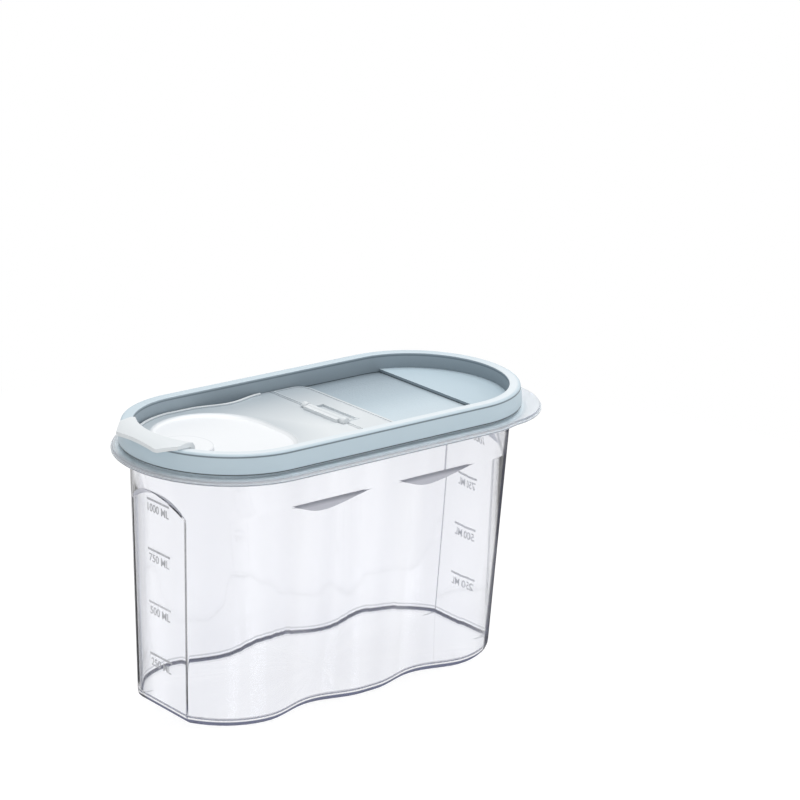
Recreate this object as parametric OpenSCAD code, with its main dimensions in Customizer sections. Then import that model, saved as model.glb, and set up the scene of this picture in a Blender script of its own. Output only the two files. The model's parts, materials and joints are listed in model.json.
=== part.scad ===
// Cereal container with a push-fit lid and a flip spout.
// Origin: on the floor plane, under the middle of the container.
// +Z is up, the spout is at -X and the grip ledge is at +X.

/* [Container] */
// Width under the flange
body_w = 84.2; // [78:0.1:90]
// Length under the flange, over the round ends
body_l = 185; // [175:0.1:200]
// Height from the floor to the underside of the flange
body_h = 110.2; // [104:0.1:130]
// Taper of each long side, in degrees
side_draft = 3.3; // [2:0.1:4]
// Taper of each end, in degrees
end_draft = 2.5; // [2:0.1:3]
// Thickness of the side walls
wall_t = 1.6; // [1.2:0.1:2]
// Thickness of the floor
floor_t = 2.2; // [1.8:0.1:3]
// Radius of the rounded edge round the floor
foot_r = 3; // [2:0.1:4]

/* [Hollows and end panels] */
// Depth of the two hollows in each long side
hollow_depth = 5; // [3:0.1:6]
// Width of each hollow
hollow_w = 50; // [44:0.5:52]
// Distance between the middles of the two hollows
hollow_pitch = 57.2; // [54:0.1:60]
// Height at which the hollows end
hollow_top = 96; // [88:0.5:98]
// Fall of the sloping ledge over each hollow
hollow_ledge = 6.8; // [5:0.1:9]
// Depth of the flat panel in each end, at its middle
panel_depth = 4.4; // [3:0.1:5]
// Height of the arch over each panel, at its crown
panel_top = 99.5; // [94:0.5:101]
// Rise of that arch from the panel's corners
panel_rise = 8.5; // [6:0.5:12]
// Fall of the ledge over each panel
panel_ledge = 2.8; // [2:0.1:5]

/* [Flange and neck] */
// Reach of the flange beyond the neck
flange_out = 5.6; // [4.5:0.1:8]
// Thickness of the flange
flange_t = 2; // [1.5:0.1:3]
// Depth of the step along the flange's edge
flange_step = 0.5; // [0.2:0.1:1]
// Set-out of the neck from the body at the sides
neck_side_step = 0.2; // [0.1:0.1:1]
// Set-out of the neck from the body at the ends
neck_end_step = 2.65; // [1.5:0.05:4]
// Thickness of the neck
neck_t = 1.6; // [1.2:0.1:2]
// Height of the neck over the flange
neck_h = 8.7; // [7.5:0.1:12]
// Reach of the grip ledge beyond the flange's end
grip_out = 4.6; // [3:0.1:8]
// Width of the grip ledge
grip_w = 90; // [84:0.5:94]
// Corner radius of the grip ledge
grip_r = 37.5; // [32:0.5:40]

/* [Lid frame] */
// Clearance between the lid and each face of the neck
lid_fit = 0.3; // [0.2:0.05:0.5]
// Thickness of the rim's outer wall
rim_wall = 1.4; // [1.2:0.1:2]
// Thickness of the rim's inner wall
rim_inner = 1.35; // [1.2:0.05:2]
// Thickness of the rim's top
rim_top_t = 1.5; // [1.2:0.1:2]
// Outward flare of the outer wall down to its foot
rim_flare = 0.8; // [0:0.1:1.5]
// Radius of the rim's outer edge
rim_edge_r = 1; // [0.6:0.1:1.2]
// Gap between the lid's foot and the flange
lid_gap = 1.5; // [1:0.1:3]
// Depth of the deck below the rim's top
deck_drop = 8.4; // [7.5:0.1:8.8]
// Thickness of the deck
deck_t = 1.5; // [1.2:0.1:2]
// Gap between the deck and the flap or plate over it
seat_gap = 0.1; // [0.05:0.05:0.3]
// Height of the plug skirt under the deck
skirt_h = 0.5; // [0.4:0.1:0.9]
// Gap between that skirt and the shoulder inside the neck
skirt_gap = 0.4; // [0.3:0.1:0.6]
// Distance from the middle to the raised shelf
shelf_x = 62; // [50:0.5:75]
// Height of the raised shelf
shelf_h = 1.5; // [1:0.1:2.5]

/* [Pour opening] */
// Distance from the middle to the opening's centre
pour_x = 54; // [50:0.5:56]
// Radius of the opening's two ends
pour_r = 28; // [25:0.1:29]
// Distance between the centres of those ends, across the lid
pour_pitch = 12.4; // [8:0.1:13]
// Height of the opening's collar under the deck
pour_collar = 1.2; // [0.8:0.1:2]

/* [Hinge] */
// Radius of the hinge barrel
barrel_r = 1.6; // [1.4:0.1:1.8]
// Length of the hinge barrel
barrel_l = 22; // [16:0.5:28]
// Clearance between the barrel and the deck
barrel_gap = 0.3; // [0.2:0.1:0.5]
// Reach of the knuckle before the hinge line
knuckle_out = 3.2; // [2.4:0.1:3.4]
// Step from the barrel's top down to the knuckle's
knuckle_step = 0.5; // [0.3:0.1:0.8]
// Radius of the barrel's two trunnions
trunnion_r = 1; // [0.8:0.05:1.1]
// Running clearance round each trunnion
trunnion_fit = 0.06; // [0.03:0.01:0.1]
// Thickness of each hinge ear, along the hinge
ear_t = 2.8; // [2:0.1:4]
// Gap between moving parts at the hinge
hinge_gap = 0.4; // [0.3:0.05:0.6]
// Length of the hinge plate
plate_l = 18.6; // [15:0.1:24]
// Thickness of the hinge plate
plate_t = 1.4; // [1.2:0.1:1.8]
// Radius of the plate's rear corners
plate_r = 7; // [3:0.5:10]
// Width of the rib round the plate and its pocket
rib_w = 0.8; // [0.6:0.1:1.2]
// Height of that rib
rib_h = 0.3; // [0.2:0.05:0.4]
// Radius of the plate's pegs
peg_r = 1.5; // [1:0.1:2]
// Distance between the plate's two pegs
peg_pitch = 52; // [44:0.5:60]
// Clearance round each peg
peg_fit = 0.05; // [0.03:0.01:0.1]
// Length of the finger pocket behind the barrel
pocket_l = 6; // [4:0.1:7]

/* [Spout flap] */
// Thickness of the flap
flap_t = 1.4; // [1.2:0.1:1.8]
// Clearance between the flap and the rim's inner wall
flap_fit = 0.5; // [0.4:0.05:0.8]
// Clearance between the plug and the pour opening
plug_fit = 0.3; // [0.25:0.05:0.5]
// Depth of the plug under the flap
plug_h = 3; // [2:0.1:4]
// Thickness of the plug's wall
plug_t = 1.4; // [1:0.1:2]
// Depth of the round dish
dish_depth = 1.2; // [0.8:0.1:1.4]
// Radius of the raised thumb disc
thumb_r = 12.2; // [9:0.1:13]
// Distance from the middle of the dish to the thumb disc's centre
thumb_x = 20.5; // [18:0.5:22]
// Height of the thumb disc over the flap
thumb_h = 0.4; // [0.2:0.1:0.8]
// Width of the bead along the flap's edge
bead_w = 1.2; // [1:0.1:2]
// Set-in of that bead from the flap's edge
bead_in = 0.4; // [0.2:0.1:1]
// Height of that bead
bead_h = 0.7; // [0.4:0.1:1]
// Depth of the waist in each side of the flap
waist_d = 3.4; // [1:0.1:5]
// Distance from the hinge to the waist
waist_x = 25; // [22:0.5:28]
// Length of the waist
waist_l = 38; // [30:0.5:42]

/* [Pouring lip] */
// Width of the lip
lip_w = 40; // [34:0.5:46]
// Width of its straight front edge
lip_front_w = 27; // [20:0.5:30]
// Reach of the lip beyond the rim's outer wall
lip_out = 1.6; // [1:0.1:4]
// Thickness of the lip
lip_t = 1.5; // [1.2:0.1:2]
// Rise of the lip over the rim
lip_rise = 0.4; // [0.3:0.1:1]
// Height of the lip's swell over the rim's inner edge
lip_swell = 0.7; // [0.2:0.1:1]
// Fall of the lip's front edge below the rim's top
lip_fall = 0.6; // [0.3:0.1:1.5]

/* [Hidden] */
$fn = 96;
eps = 0.01;

// heights
flange_top = body_h + flange_t;
neck_top = flange_top + neck_h;
rim_top = neck_top + rim_top_t;
rim_foot = flange_top + lid_gap;
deck_top = rim_top - deck_drop;
deck_under = deck_top - deck_t;
shoulder_z = deck_under - skirt_h - skirt_gap;

// the stadium that neck, flange and lid share: half-length of its spine, and radii round it
neck_r = body_w / 2 + neck_side_step;
spine = body_l / 2 + neck_end_step - neck_r;
flange_r = neck_r + flange_out;
channel_in = neck_r - neck_t - lid_fit;
channel_out = neck_r + lid_fit;
rim_in = channel_in - rim_inner;
rim_out = channel_out + rim_wall;
rim_foot_r = rim_out + rim_flare;

// hinge
hinge_z = deck_top + barrel_r + barrel_gap;
ear_y = barrel_l / 2 + hinge_gap;
trunnion_l = ear_y + ear_t;
ear_r = trunnion_r + trunnion_fit + 0.8;
seat_z = deck_top + seat_gap;
plate_top = seat_z + plate_t;
flap_top = seat_z + flap_t;
window_y = trunnion_l + hinge_gap;
window_x = ear_r + hinge_gap;

// ---------- container ----------

// stations on a quarter of a ring: half the end panel, the end's arc, half the side
panel_n = 5;
arc_n = 10;
side_n = 15;
quarter_n = panel_n + arc_n + side_n;
ring_n = 4 * quarter_n;
corner_turn = 0.8;
min_ledge = 0.6;

function half_w(z) = body_w / 2 - (body_h - z) * tan(side_draft);
function half_l(z) = body_l / 2 - (body_h - z) * tan(end_draft);

// angle of the panel's corner, seen from the middle of an end of radius r
function corner_angle(r) = acos(1 - panel_depth / r);

// angle of station k round an end of radius r, with a narrow chamfer at the panel's corner
function station_angle(k, r) =
    let (a = corner_angle(r))
    let (first = a + corner_turn)
    k <= panel_n ? (a - corner_turn) * k / panel_n
    : k <= panel_n + arc_n ? first + (90 - first) * (k - panel_n - 1) / (arc_n - 1)
    : 90;

// share of the straight side left beyond station k
function side_share(k) = k <= panel_n + arc_n ? 1 : (quarter_n - k) / side_n;

// depth of the side hollows at x, as a share of the full depth
function hollow(x) =
    let (u = min(1, abs(abs(x) - hollow_pitch / 2) / (hollow_w / 2)))
    (1 + cos(180 * u)) / 2;

// depth of the end panel at station k, as a share of the full depth
function panel_share(k) =
    let (r = body_w / 2)
    k >= panel_n ? 0 : (r * cos(station_angle(k, r)) - r + panel_depth) / panel_depth;

// plan point of station k at height z, set in by inset, with h and p the shares of hollow and panel
function body_point(k, z, inset, h, p) =
    let (w = half_w(z) - inset)
    let (x0 = half_l(z) - half_w(z))
    let (a = station_angle(k, w))
    let (x = x0 * side_share(k) + w * cos(a))
    let (cut = k <= panel_n ? x - (x0 + w - panel_depth) : 0)
    [x - p * cut, w * sin(a) - h * hollow_depth * hollow(x), z];

// height of the top edge and the foot of the ledge at station k
function ledge_top(k) =
    let (u = (k - panel_n) / arc_n)
    k <= panel_n ? panel_top - panel_rise * pow(k / panel_n, 2)
    : k <= panel_n + arc_n ? panel_top - panel_rise
        + (hollow_top - panel_top + panel_rise) * (1 - cos(180 * u)) / 2
    : hollow_top;
function ledge_foot(k) =
    let (x = (half_l(hollow_top) - half_w(hollow_top)) * side_share(k))
    ledge_top(k) - max(min_ledge,
        k <= panel_n ? panel_ledge * panel_share(k) : hollow_ledge * hollow(x) * side_reach(k));
function side_reach(k) = k <= panel_n + arc_n ? 0 : 1;

// a whole ring from a quarter of it
function mirror_ring(q) = concat(
    [for (k = [0 : quarter_n - 1]) q[k]],
    [for (k = [quarter_n : -1 : 1]) [-q[k].x, q[k].y, q[k].z]],
    [for (k = [0 : quarter_n - 1]) [-q[k].x, -q[k].y, q[k].z]],
    [for (k = [quarter_n : -1 : 1]) [q[k].x, -q[k].y, q[k].z]]);

function body_ring(z, inset, h, p) =
    mirror_ring([for (k = [0 : quarter_n]) body_point(k, z, inset, h, p)]);
function ledge_foot_ring(inset) =
    mirror_ring([for (k = [0 : quarter_n]) body_point(k, ledge_foot(k), inset, 1, 1)]);
function ledge_top_ring(inset) =
    mirror_ring([for (k = [0 : quarter_n]) body_point(k, ledge_top(k), inset, 0, 0)]);

// ring of radius r round the spine
function spine_point(k, r, z) =
    let (a = station_angle(k, neck_r))
    [spine * side_share(k) + r * cos(a), r * sin(a), z];
function spine_ring(r, z) = mirror_ring([for (k = [0 : quarter_n]) spine_point(k, r, z)]);

// reach of the grip ledge, seen from the spine's end at angle a
function grip_reach(a, inset) =
    let (dx = flange_r + grip_out - inset)
    let (dy = grip_w / 2 - inset)
    let (r = grip_r - inset)
    let (cx = dx - r)
    let (cy = dy - r)
    let (b = cx * cos(a) + cy * sin(a))
    tan(a) * dx <= cy ? dx / cos(a)
    : dy / tan(a) <= cx ? dy / sin(a)
    : b + sqrt(b * b - cx * cx - cy * cy + r * r);
function grip_point(k, inset, z) =
    let (a = station_angle(k, neck_r))
    let (r = a < 89 ? max(flange_r - inset, grip_reach(max(a, 0.01), inset)) : flange_r - inset)
    [spine * side_share(k) + r * cos(a), r * sin(a), z];
function flange_ring(inset, z) =
    let (plain = spine_ring(flange_r - inset, z))
    let (grip = mirror_ring([for (k = [0 : quarter_n]) grip_point(k, inset, z)]))
    [for (i = [0 : ring_n - 1]) plain[i].x > 0 ? grip[i] : plain[i]];

// solid with the given rings, each joined to the next, and a flat fan round the axis at both ends
module loft(rings) {
    n = len(rings[0]);
    m = len(rings);
    last = (m - 1) * n;
    sides = [for (j = [0 : m - 2], i = [0 : n - 1], t = [0, 1])
        let (a = j * n + i)
        let (b = j * n + (i + 1) % n)
        t == 0 ? [a, a + n, b + n] : [a, b + n, b]];
    first_fan = [for (i = [0 : n - 1]) [m * n, i, (i + 1) % n]];
    last_fan = [for (i = [0 : n - 1]) [m * n + 1, last + (i + 1) % n, last + i]];
    hubs = [[0, 0, rings[0][0].z], [0, 0, rings[m - 1][0].z]];
    polyhedron(concat([for (r = rings) for (p = r) p], hubs), concat(sides, first_fan, last_fan));
}

module container_body() {
    edge = 0.3;
    foot_turn = [for (a = [0, 30, 60]) body_ring(foot_r * (1 - cos(a)), foot_r * (1 - sin(a)), 1, 1)];
    floor_r = 2;
    floor_turn = [for (a = [60, 30, 0])
        body_ring(floor_t + floor_r * (1 - cos(a)), wall_t + floor_r * (1 - sin(a)), 1, 1)];
    outside = concat(
        foot_turn,
        [body_ring(foot_r, 0, 1, 1)],
        [ledge_foot_ring(0)],
        [ledge_top_ring(0)],
        [body_ring(body_h, 0, 0, 0)]);
    flange = [
        flange_ring(edge, body_h),
        flange_ring(0, body_h + edge),
        flange_ring(0, body_h + flange_t / 2 - edge / 2),
        flange_ring(flange_step, body_h + flange_t / 2),
        flange_ring(flange_step, flange_top - edge),
        flange_ring(flange_step + edge, flange_top)];
    neck = [
        spine_ring(neck_r, flange_top),
        spine_ring(neck_r, neck_top - edge),
        spine_ring(neck_r - edge, neck_top),
        spine_ring(neck_r - neck_t + edge, neck_top),
        spine_ring(neck_r - neck_t, neck_top - edge),
        spine_ring(neck_r - neck_t, shoulder_z)];
    inside = concat(
        [body_ring(shoulder_z, wall_t, 0, 0)],
        [ledge_top_ring(wall_t)],
        [ledge_foot_ring(wall_t)],
        [body_ring(floor_t + floor_r, wall_t, 1, 1)],
        floor_turn);
    color([0.9, 0.93, 0.97, 0.35]) loft(concat(outside, flange, neck, inside));
}

// ---------- lid ----------

// points on an arc about [x, y]
function arc(x, y, r, a, b, n) =
    [for (i = [0 : n]) let (t = a + (b - a) * i / n) [x + r * cos(t), y + r * sin(t)]];

// a profile in [distance from the spine, height], carried right round the stadium
module round_stadium() {
    for (s = [0, 180]) rotate([0, 0, s]) {
        translate([spine, 0, 0]) rotate([0, 0, -90]) rotate_extrude(angle = 180) children();
        translate([spine, 0, 0]) rotate([90, 0, -90]) linear_extrude(2 * spine) children();
    }
}

// plan of a stadium of radius r round the spine
module stadium(r) {
    square([2 * spine, 2 * r], center = true);
    for (s = [-1, 1]) translate([s * spine, 0]) circle(r);
}

// plan of the pour opening's shape: two round ends of radius r, side by side across the lid
module oval(r) {
    translate([-pour_x, 0]) {
        square([2 * r, pour_pitch], center = true);
        for (s = [-1, 1]) translate([0, s * pour_pitch / 2]) circle(r);
    }
}

module rim_profile() {
    chamfer = 0.4;
    bulge = 0.25;
    polygon(concat(
        [[rim_in, deck_under]],
        arc(rim_in + chamfer, rim_top - chamfer, chamfer, 180, 90, 3),
        arc(rim_out - rim_edge_r, rim_top - rim_edge_r, rim_edge_r, 90, 0, 5),
        [[(rim_out + rim_foot_r) / 2 + bulge, (rim_top + rim_foot) / 2]],
        arc(rim_foot_r - chamfer, rim_foot + chamfer, chamfer, 0, -90, 3),
        [[rim_foot_r - rim_wall, rim_foot],
         [channel_out, rim_foot + (neck_top - rim_foot) / 2],
         [channel_out, neck_top],
         [channel_in, neck_top],
         [channel_in, deck_under - skirt_h / 2],
         [channel_in - chamfer, deck_under - skirt_h],
         [rim_in, deck_under - skirt_h]]));
}

module lid_frame() {
    overlap = rim_inner / 2;
    peg_at = [for (s = [-1, 1]) [plate_l / 2 + hinge_gap, s * peg_pitch / 2]];
    color([0.62, 0.69, 0.72]) {
        round_stadium() rim_profile();
        difference() {
            union() {
                translate([0, 0, deck_under]) linear_extrude(deck_t) stadium(rim_in + overlap);
                translate([0, 0, deck_top - eps]) linear_extrude(shelf_h + eps) intersection() {
                    stadium(rim_in + overlap);
                    translate([shelf_x, -neck_r]) square([spine + neck_r, 2 * neck_r]);
                }
                translate([0, 0, deck_under - pour_collar])
                    linear_extrude(pour_collar + eps) oval(pour_r + rim_wall);
            }
            translate([0, 0, deck_under - pour_collar - 1])
                linear_extrude(pour_collar + deck_t + 2) oval(pour_r);
            for (p = peg_at) translate([p.x, p.y, deck_under - 1])
                cylinder(h = deck_t + 2, r = peg_r + peg_fit);
        }
    }
}

// ---------- hinge plate ----------

// plan of the plate, set in by inset
module plate_plan(inset) {
    half = rim_in - flap_fit - inset;
    x0 = hinge_gap / 2 + inset;
    x1 = hinge_gap / 2 + plate_l - inset;
    r = plate_r - inset;
    translate([x0, -half]) square([x1 - r - x0, 2 * half]);
    translate([x0, -half + r]) square([x1 - x0, 2 * (half - r)]);
    for (s = [-1, 1]) translate([x1 - r, s * (half - r)]) circle(r);
}

module hinge_plate() {
    pocket_d = plate_t / 2;
    peg_end = 0.4;
    pocket_x = barrel_r + hinge_gap;
    rib_in = 0.9;
    color([0.93, 0.95, 0.96, 0.7]) difference() {
        union() {
            translate([0, 0, seat_z]) linear_extrude(plate_t) plate_plan(0);
            // rib round the plate, and round the pocket
            translate([0, 0, plate_top - rib_h]) difference() {
                linear_extrude(2 * rib_h) plate_plan(rib_in);
                translate([0, 0, -1]) linear_extrude(2 * rib_h + 2) plate_plan(rib_in + rib_w);
            }
            translate([pocket_x, -ear_y - rib_w, plate_top - rib_h])
                cube([pocket_l + rib_w, 2 * (ear_y + rib_w), 2 * rib_h]);
            for (s = [-1, 1]) {
                // ear: a round boss about the hinge axis on a foot that joins the plate
                translate([0, s * (ear_y + ear_t / 2), hinge_z]) rotate([90, 0, 0])
                    cylinder(h = ear_t, r = ear_r, center = true);
                translate([-ear_r, s * (ear_y + ear_t / 2) - ear_t / 2, seat_z])
                    cube([2 * ear_r + hinge_gap, ear_t, hinge_z - seat_z]);
                translate([plate_l / 2 + hinge_gap, s * peg_pitch / 2, deck_under - peg_end])
                    cylinder(h = deck_t + peg_end + plate_t / 2, r = peg_r);
            }
        }
        // window for the barrel
        translate([-1, -ear_y, seat_z - 1]) cube([1 + pocket_x, 2 * ear_y, plate_t + 2]);
        // finger pocket behind it
        translate([pocket_x - eps, -ear_y, plate_top - pocket_d]) cube([pocket_l, 2 * ear_y, pocket_d + 1]);
        // bore for the trunnions
        translate([0, 0, hinge_z]) rotate([90, 0, 0])
            cylinder(h = 2 * trunnion_l + 2, r = trunnion_r + trunnion_fit, center = true);
    }
}

// ---------- spout flap ----------

// half-width of the flap's side at distance x before the hinge
function flap_side(x, inset) =
    let (u = min(1, abs(x - waist_x) / (waist_l / 2)))
    rim_in - flap_fit - inset - waist_d * (1 + cos(180 * u)) / 2;

module flap_plan(inset) {
    side_steps = 28;
    x0 = hinge_gap / 2;
    half = [for (i = [0 : side_steps]) let (x = x0 + (spine - x0) * i / side_steps)
        [-x, flap_side(x, inset)]];
    polygon(concat(half, [for (i = [side_steps : -1 : 0]) [half[i].x, -half[i].y]]));
    translate([-spine, 0]) intersection() {
        circle(rim_in - flap_fit - inset);
        translate([-neck_r, -neck_r]) square([neck_r + eps, 2 * neck_r]);
    }
}

// section of the dish and its plug, in [distance from the centre of a round end, height]
module dish_profile() {
    plug_r = pour_r - plug_fit;
    top_r = plug_r - plug_t / 2;
    floor_top = flap_top - dish_depth;
    floor_low = floor_top - flap_t;
    turn = 0.8;
    polygon(concat(
        [[0, floor_top]],
        arc(top_r - turn - dish_depth, floor_top + turn, turn, -90, -45, 3),
        [[top_r, flap_top], [plug_r, flap_top], [plug_r, deck_top - plug_h + turn / 2],
         [plug_r - turn / 2, deck_top - plug_h], [plug_r - plug_t, deck_top - plug_h],
         [plug_r - plug_t, floor_low], [0, floor_low]]));
}

// the dish and its plug: half a turn round each end, and a straight run between them
module dish() {
    for (s = [0, 180]) translate([-pour_x, 0, 0]) rotate([0, 0, s]) {
        translate([0, pour_pitch / 2, 0]) rotate_extrude(angle = 180) dish_profile();
        translate([0, pour_pitch / 2, 0]) rotate([90, 0, 0]) linear_extrude(pour_pitch) dish_profile();
    }
}

// section of the lip, in [distance from the spine's end, height]; its tip lies beyond the plan's corners
module lip_profile() {
    r0 = rim_in - flap_fit;
    over = rim_top + lip_rise;
    tip_r = norm([rim_foot_r + lip_out, lip_front_w / 2]) + lip_t / 4;
    tip_z = rim_top - lip_fall;
    polygon([
        [r0, flap_top - flap_t / 2],
        [r0, over],
        [rim_out + lip_rise, over],
        [tip_r - lip_t / 2, tip_z - lip_t / 2],
        [tip_r, tip_z],
        [tip_r - lip_t / 4, tip_z + lip_t / 2],
        [rim_out + lip_rise, over + lip_t],
        [rim_in + 1, over + lip_t + lip_swell],
        [r0 - bead_w / 2, over + lip_t + lip_swell / 2],
        [r0 - lip_t, over],
        [r0 - lip_t, flap_top - flap_t / 2]]);
}

module lip_plan() {
    front = spine + rim_foot_r + lip_out;
    back = spine;
    corner = (lip_w - lip_front_w) / 2;
    polygon([
        [-back, -lip_w / 2], [-front + corner, -lip_w / 2], [-front, -lip_front_w / 2],
        [-front, lip_front_w / 2], [-front + corner, lip_w / 2], [-back, lip_w / 2]]);
}

// the bead: an arm along each waisted side, and one along the round edge from there to the lip
module flap_bead() {
    r = rim_in - flap_fit - bead_in;
    start = 2;
    turn = 90 - asin((lip_w / 2 - bead_w) / r) - start;
    side_in = bead_in + 0.15;
    steps = 20;
    x0 = waist_x - waist_l / 2;
    x1 = spine + 2.5;
    translate([0, 0, flap_top - flap_t / 2]) {
        for (a = [90 + start, 270 - start - turn]) translate([-spine, 0, 0]) rotate([0, 0, a])
            rotate_extrude(angle = turn) translate([r - bead_w, 0]) square([bead_w, bead_h + flap_t / 2]);
        for (s = [-1, 1]) linear_extrude(bead_h + flap_t / 2) polygon(concat(
            [for (i = [0 : steps]) let (x = x0 + (x1 - x0) * i / steps) [-x, s * flap_side(x, side_in)]],
            [for (i = [steps : -1 : 0]) let (x = x0 + (x1 - x0) * i / steps)
                [-x, s * flap_side(x, side_in + bead_w)]]));
    }
}

module spout_flap() {
    color([0.96, 0.98, 1, 0.75]) {
        difference() {
            translate([0, 0, seat_z]) linear_extrude(flap_t) flap_plan(0);
            // room for the dish
            translate([0, 0, seat_z - 1]) linear_extrude(flap_t + 2) oval(pour_r - plug_fit - plug_t / 4);
            // room for the ears and the barrel
            translate([-window_x, -window_y, seat_z - 1]) cube([window_x + 1, 2 * window_y, flap_t + 2]);
        }
        flap_bead();
        dish();
        // thumb disc
        translate([-pour_x - thumb_x, 0, seat_z]) cylinder(h = flap_t + thumb_h, r = thumb_r);
        // barrel, its arm and its trunnions
        translate([0, 0, hinge_z]) rotate([90, 0, 0]) {
            cylinder(h = barrel_l, r = barrel_r, center = true);
            cylinder(h = 2 * trunnion_l, r = trunnion_r, center = true);
        }
        translate([-window_x - 1, -barrel_l / 2, seat_z]) cube([window_x + 1, barrel_l, flap_t]);
        translate([-knuckle_out, -barrel_l / 2, flap_top - flap_t / 2])
            cube([knuckle_out, barrel_l, hinge_z + barrel_r - knuckle_step - flap_top + flap_t / 2]);
        // lip over the rim
        intersection() {
            translate([-spine, 0, 0]) rotate([0, 0, 90]) rotate_extrude(angle = 180) lip_profile();
            translate([0, 0, seat_z]) linear_extrude(rim_top - seat_z + 10) lip_plan();
        }
    }
}

container_body();
lid_frame();
hinge_plate();
spout_flap();
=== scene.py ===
# %% [markdown]
# A cereal container with a push-fit lid and a flip spout: a clear moulded tub, a blue-grey lid
# frame, and a milky flap that turns on a small plate and ends in a pouring lip.
# The solids come from the CAD frame, which is loaded first and stays where it is. This script
# gives them smooth moulded surfaces, their plastics, the measuring marks, the light and the camera.

# %% Load the frame
import json
import math

import bpy
from mathutils import Matrix, Vector


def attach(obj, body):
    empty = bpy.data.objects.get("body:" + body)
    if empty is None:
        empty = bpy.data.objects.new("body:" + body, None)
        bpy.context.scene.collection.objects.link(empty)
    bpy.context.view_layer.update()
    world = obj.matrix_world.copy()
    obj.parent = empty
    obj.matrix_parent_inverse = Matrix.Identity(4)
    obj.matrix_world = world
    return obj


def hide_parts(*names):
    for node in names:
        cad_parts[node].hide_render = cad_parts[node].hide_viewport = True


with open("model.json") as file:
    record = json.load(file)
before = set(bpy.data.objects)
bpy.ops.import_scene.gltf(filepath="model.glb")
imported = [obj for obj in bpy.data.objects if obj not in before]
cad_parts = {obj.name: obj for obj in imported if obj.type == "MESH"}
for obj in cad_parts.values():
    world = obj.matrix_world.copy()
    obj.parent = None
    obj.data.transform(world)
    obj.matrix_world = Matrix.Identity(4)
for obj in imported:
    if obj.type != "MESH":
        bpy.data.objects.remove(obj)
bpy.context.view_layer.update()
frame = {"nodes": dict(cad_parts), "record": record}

MM = 0.001
print("nodes:", sorted(frame["nodes"]))

# %% [markdown]
# The camera. The container is seen from the front left and a little above, through a long lens
# from more than a metre away, so that its upright edges stay nearly parallel. The lens shift
# slides the frame without tilting the camera.

# %% Camera
CAMERA_AT = Vector((-0.7793, -0.9435, 0.5138))
CAMERA_AIM = Vector((0.0120, 0.0, 0.1562))
CAMERA_ROLL = math.radians(1.98)
LENS_MM = 135.95
SHIFT = (0.0623, -0.1016)


def add_camera():
    data = bpy.data.cameras.new("camera")
    data.lens = LENS_MM
    data.sensor_width = 36
    data.shift_x, data.shift_y = SHIFT
    camera = bpy.data.objects.new("camera", data)
    bpy.context.scene.collection.objects.link(camera)
    turn = (CAMERA_AIM - CAMERA_AT).to_track_quat("-Z", "Y").to_matrix()
    turn = turn @ Matrix.Rotation(CAMERA_ROLL, 3, "Z")
    camera.matrix_world = Matrix.Translation(CAMERA_AT) @ turn.to_4x4()
    bpy.context.scene.camera = camera
    return camera


camera = add_camera()
turn = camera.matrix_world.to_3x3()
print("camera looks along", [round(v, 3) for v in turn @ Vector((0, 0, -1))])
print("camera right is", [round(v, 4) for v in turn @ Vector((1, 0, 0))])

# %% [markdown]
# Every finish here is built from nodes. These helpers keep the material functions short: one
# makes an empty material, the others add a node, shape a noise, spread a value over a range,
# turn a height into a bump, or mix two shaders.

# %% Material helpers
def new_material(name):
    material = bpy.data.materials.new(name)
    material.use_nodes = True
    tree = material.node_tree
    tree.nodes.clear()
    output = tree.nodes.new("ShaderNodeOutputMaterial")
    return material, tree, output


def add_node(tree, kind, **values):
    """A node of a kind, with values for its sockets or, failing those, its settings."""
    node = tree.nodes.new("ShaderNode" + kind)
    for key, value in values.items():
        if key in node.inputs:
            node.inputs[key].default_value = value
        else:
            setattr(node, key, value)
    return node


def object_noise(tree, scale, detail, stretch=(1, 1, 1)):
    """Noise that is fixed to the object."""
    place = add_node(tree, "TexCoord")
    mapping = add_node(tree, "Mapping", Scale=stretch)
    noise = add_node(tree, "TexNoise", Scale=scale, Detail=detail)
    tree.links.new(place.outputs["Object"], mapping.inputs["Vector"])
    tree.links.new(mapping.outputs["Vector"], noise.inputs["Vector"])
    return noise.outputs["Fac"]


def spread(tree, source, low, high, start, end):
    """A value that runs from low to high as source goes from start to end."""
    ramp = add_node(tree, "MapRange")
    ramp.inputs["From Min"].default_value = start
    ramp.inputs["From Max"].default_value = end
    ramp.inputs["To Min"].default_value = low
    ramp.inputs["To Max"].default_value = high
    tree.links.new(source, ramp.inputs["Value"])
    return ramp.outputs["Result"]


def bump(tree, height, distance, strength):
    node = add_node(tree, "Bump", Strength=strength, Distance=distance)
    tree.links.new(height, node.inputs["Height"])
    return node.outputs["Normal"]


def mix_shaders(tree, share, first, second):
    """first where share is 0, second where it is 1."""
    mix = add_node(tree, "MixShader")
    if isinstance(share, float):
        mix.inputs["Fac"].default_value = share
    else:
        tree.links.new(share, mix.inputs["Fac"])
    tree.links.new(first.outputs[0], mix.inputs[1])
    tree.links.new(second.outputs[0], mix.inputs[2])
    return mix


print("material helpers ready")

# %% [markdown]
# Sizes that the finishes refer to start from the frame itself. The top of the rim is the highest
# point of the lid, and its foot and the deck lie set distances below it. The lid and the flange
# follow a stadium, which is a straight spine along X with the same reach all round it, so the
# spine and the reach are measured here too.

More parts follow.
